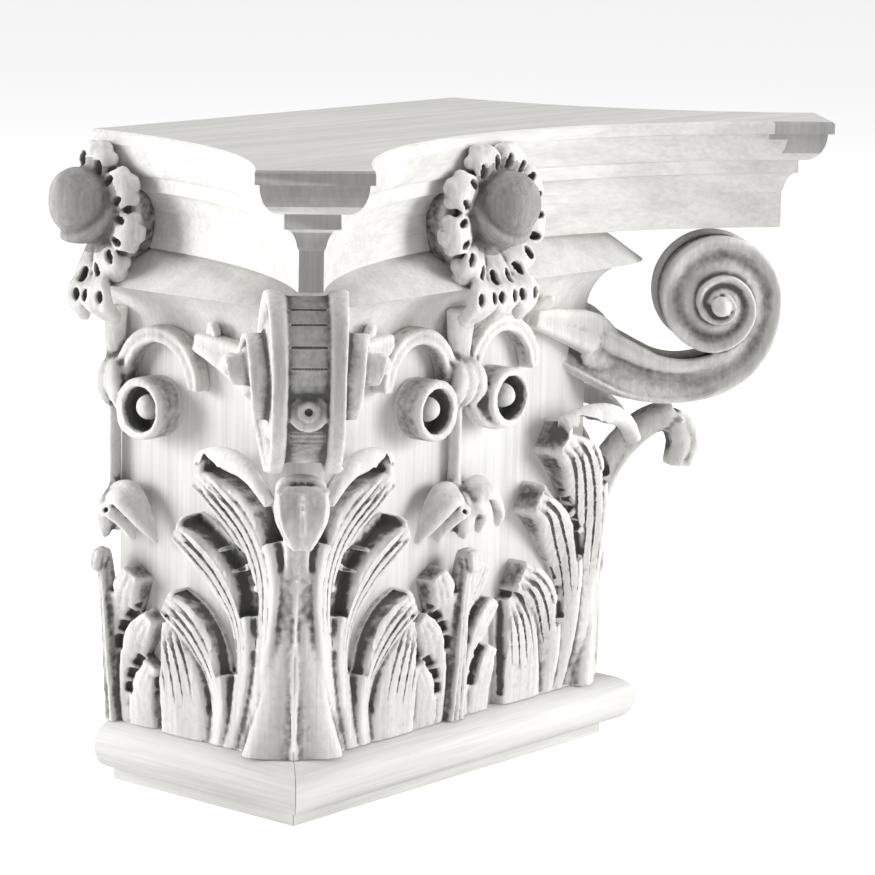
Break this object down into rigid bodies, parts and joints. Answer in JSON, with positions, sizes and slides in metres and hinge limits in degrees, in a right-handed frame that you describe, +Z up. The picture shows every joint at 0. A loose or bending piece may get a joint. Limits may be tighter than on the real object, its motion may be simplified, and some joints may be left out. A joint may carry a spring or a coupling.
{
  "type": "corinthian pilaster capital",
  "caption": "Half of a square Corinthian capital in carved wood, flat at the back, with leaves, corner volutes, fleurons and a hollow-sided abacus.",
  "frame": {"origin": "middle of the bounding box in plan, at the underside of the base moulding", "axes": "+Z up; the front face looks along -Y; the flat back faces +Y; +X to the right seen from the front"},
  "size_m": [0.3568, 0.1784, 0.2696],
  "materials": {
    "plain_wood": "sanded bare wood, fine straight grain",
    "moulded_wood": "run and sanded mouldings, bare wood",
    "carved_wood": "carved bare wood, tool marks and rough hollows"
  },
  "bodies": {
    "root": {"bell": "plain_wood", "abacus": "moulded_wood", "base_moulding_front": "moulded_wood", "base_moulding_left": "moulded_wood", "base_moulding_right": "moulded_wood", "corner_leaf_left": "carved_wood", "corner_leaf_right": "carved_wood", "volute_left": "carved_wood", "volute_right": "carved_wood", "face_leaf_front": "carved_wood", "face_leaf_left": "carved_wood", "face_leaf_right": "carved_wood", "scroll_stem_front": "carved_wood", "scroll_stem_left": "carved_wood", "scroll_stem_right": "carved_wood", "fleuron_front": "carved_wood", "fleuron_left": "carved_wood", "fleuron_right": "carved_wood"}
  },
  "joints": []
}
